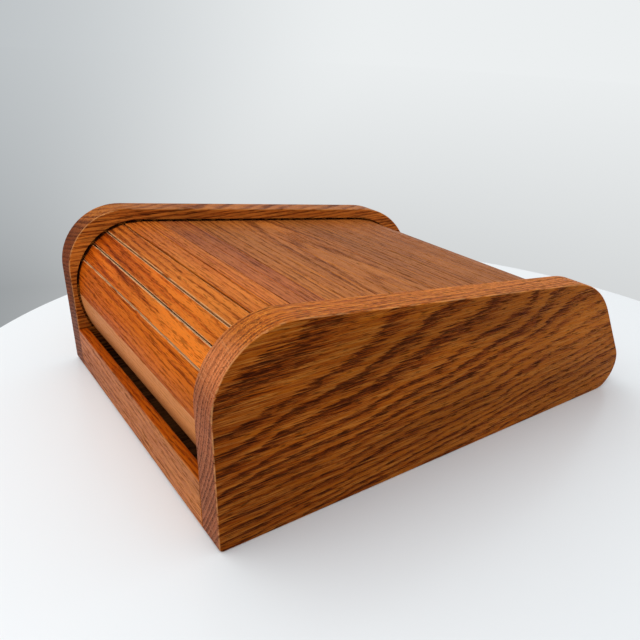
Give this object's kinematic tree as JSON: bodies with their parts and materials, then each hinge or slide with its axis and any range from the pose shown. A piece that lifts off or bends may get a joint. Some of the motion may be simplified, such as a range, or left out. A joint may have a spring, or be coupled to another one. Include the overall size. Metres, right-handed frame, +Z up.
{
  "type": "tambour lid box",
  "caption": "Oak desk box for papers and keepsakes, with thick rounded sides and a lid of slats on cloth that rolls up and back in grooves from a low front rail.",
  "frame": {"origin": "on the table, under the middle of the box's bounding box", "axes": "+Z up, +X to the right when facing the front rail, -Y is the front with the low rail, +Y is the sloping back"},
  "size_m": [0.25, 0.3577, 0.1216],
  "materials": {
    "oak_side": "satin oiled oak, bold cathedral grain",
    "oak_rail": "satin oiled oak",
    "oak_pull_bar": "satin oiled oak, darker",
    "oak_slat": "satin oiled oak, grain along each slat",
    "oak_floor": "oak-faced plywood, matt",
    "oak_back": "satin oiled oak",
    "lid_cloth": "unbleached cotton canvas"
  },
  "bodies": {
    "case": {"side_panel_left": "oak_side", "side_panel_right": "oak_side", "front_rail": "oak_rail", "floor_panel": "oak_floor", "back_board": "oak_back", "back_sill": "oak_back"},
    "lid_flat_run": {"lid_slat_05": "oak_slat", "lid_slat_06": "oak_slat", "lid_slat_07": "oak_slat", "lid_slat_08": "oak_slat", "lid_slat_09": "oak_slat", "lid_slat_10": "oak_slat", "lid_slat_11": "oak_slat", "lid_slat_12": "oak_slat", "lid_slat_13": "oak_slat", "lid_slat_14": "oak_slat", "lid_slat_15": "oak_slat", "lid_slat_16": "oak_slat", "lid_slat_17": "oak_slat", "lid_cloth_flat_run": "lid_cloth"},
    "lid_pull_bar": {"lid_pull_bar": "oak_pull_bar", "lid_cloth_pull_bar": "lid_cloth"},
    "slat_01": {"lid_slat_01": "oak_slat", "lid_cloth_01": "lid_cloth"},
    "slat_02": {"lid_slat_02": "oak_slat", "lid_cloth_02": "lid_cloth"},
    "slat_03": {"lid_slat_03": "oak_slat", "lid_cloth_03": "lid_cloth"},
    "slat_04": {"lid_slat_04": "oak_slat", "lid_cloth_04": "lid_cloth"},
    "slat_18": {"lid_slat_18": "oak_slat", "lid_cloth_18": "lid_cloth"},
    "slat_19": {"lid_slat_19": "oak_slat", "lid_cloth_19": "lid_cloth"},
    "slat_20": {"lid_slat_20": "oak_slat", "lid_cloth_20": "lid_cloth"},
    "slat_21": {"lid_slat_21": "oak_slat", "lid_cloth_21": "lid_cloth"},
    "slat_22": {"lid_slat_22": "oak_slat", "lid_cloth_22": "lid_cloth"},
    "slat_23": {"lid_slat_23": "oak_slat", "lid_cloth_23": "lid_cloth"},
    "slat_24": {"lid_slat_24": "oak_slat", "lid_cloth_24": "lid_cloth"},
    "slat_25": {"lid_slat_25": "oak_slat", "lid_cloth_25": "lid_cloth"},
    "slat_26": {"lid_slat_26": "oak_slat", "lid_cloth_26": "lid_cloth"}
  },
  "joints": [
    {"name": "lid_slide", "type": "slide", "parent": "case", "child": "lid_flat_run", "axis": [0, 0.9957, -0.0924], "range_m": [0, 0.048]},
    {"name": "pull_bar_swing", "type": "hinge", "parent": "case", "child": "lid_pull_bar", "pos_m": [0, -0.12893, 0.06694], "axis": [-1, 0, 0], "range_deg": [0, 67.26]},
    {"name": "slat_01_swing", "type": "hinge", "parent": "case", "child": "slat_01", "pos_m": [0, -0.12696, 0.0639], "axis": [-1, 0, 0], "range_deg": [0, 62.01]},
    {"name": "slat_02_swing", "type": "hinge", "parent": "case", "child": "slat_02", "pos_m": [0, -0.12264, 0.04924], "axis": [-1, 0, 0], "range_deg": [0, 46.42]},
    {"name": "slat_03_swing", "type": "hinge", "parent": "case", "child": "slat_03", "pos_m": [0, -0.11976, 0.00351], "axis": [-1, 0, 0], "range_deg": [0, 26.31]},
    {"name": "slat_04_swing", "type": "hinge", "parent": "case", "child": "slat_04", "pos_m": [0, -0.13624, -0.27204], "axis": [-1, 0, 0], "range_deg": [0, 7.26]},
    {"name": "slat_18_swing", "type": "hinge", "parent": "case", "child": "slat_18", "pos_m": [0, -0.03118, -0.88447], "axis": [-1, 0, 0], "range_deg": [0, 2.83]},
    {"name": "slat_19_swing", "type": "hinge", "parent": "case", "child": "slat_19", "pos_m": [0, 0.04895, -0.12788], "axis": [-1, 0, 0], "range_deg": [0, 12.57]},
    {"name": "slat_20_swing", "type": "hinge", "parent": "case", "child": "slat_20", "pos_m": [0, 0.0674, -0.01744], "axis": [-1, 0, 0], "range_deg": [0, 25.59]},
    {"name": "slat_21_swing", "type": "hinge", "parent": "case", "child": "slat_21", "pos_m": [0, 0.07758, 0.01718], "axis": [-1, 0, 0], "range_deg": [0, 38.32]},
    {"name": "slat_22_swing", "type": "hinge", "parent": "case", "child": "slat_22", "pos_m": [0, 0.08092, 0.02384], "axis": [-1, 0, 0], "range_deg": [0, 42.66]},
    {"name": "slat_23_swing", "type": "hinge", "parent": "case", "child": "slat_23", "pos_m": [0, 0.07155, 0.01109], "axis": [-1, 0, 0], "range_deg": [0, 34.35]},
    {"name": "slat_24_swing", "type": "hinge", "parent": "case", "child": "slat_24", "pos_m": [0, 0.03844, -0.02126], "axis": [-1, 0, 0], "range_deg": [0, 21.83]},
    {"name": "slat_25_swing", "type": "hinge", "parent": "case", "child": "slat_25", "pos_m": [0, -0.11154, -0.13987], "axis": [-1, 0, 0], "range_deg": [0, 8.7]},
    {"name": "slat_26_swing", "type": "hinge", "parent": "case", "child": "slat_26", "pos_m": [0, -6.33983, -4.67974], "axis": [-1, 0, 0], "range_deg": [0, 0.363]}
  ],
  "couplings": [
    {"joint": "pull_bar_swing", "follows": "lid_slide", "rad_per_m": 24.45},
    {"joint": "slat_01_swing", "follows": "lid_slide", "rad_per_m": 22.541},
    {"joint": "slat_02_swing", "follows": "lid_slide", "rad_per_m": 16.872},
    {"joint": "slat_03_swing", "follows": "lid_slide", "rad_per_m": 9.5599},
    {"joint": "slat_04_swing", "follows": "lid_slide", "rad_per_m": 2.6314},
    {"joint": "slat_18_swing", "follows": "lid_slide", "rad_per_m": 1.021},
    {"joint": "slat_19_swing", "follows": "lid_slide", "rad_per_m": 4.5627},
    {"joint": "slat_20_swing", "follows": "lid_slide", "rad_per_m": 9.2962},
    {"joint": "slat_21_swing", "follows": "lid_slide", "rad_per_m": 13.926},
    {"joint": "slat_22_swing", "follows": "lid_slide", "rad_per_m": 15.503},
    {"joint": "slat_23_swing", "follows": "lid_slide", "rad_per_m": 12.482},
    {"joint": "slat_24_swing", "follows": "lid_slide", "rad_per_m": 7.9288},
    {"joint": "slat_25_swing", "follows": "lid_slide", "rad_per_m": 3.1552},
    {"joint": "slat_26_swing", "follows": "lid_slide", "rad_per_m": 0.1246}
  ]
}
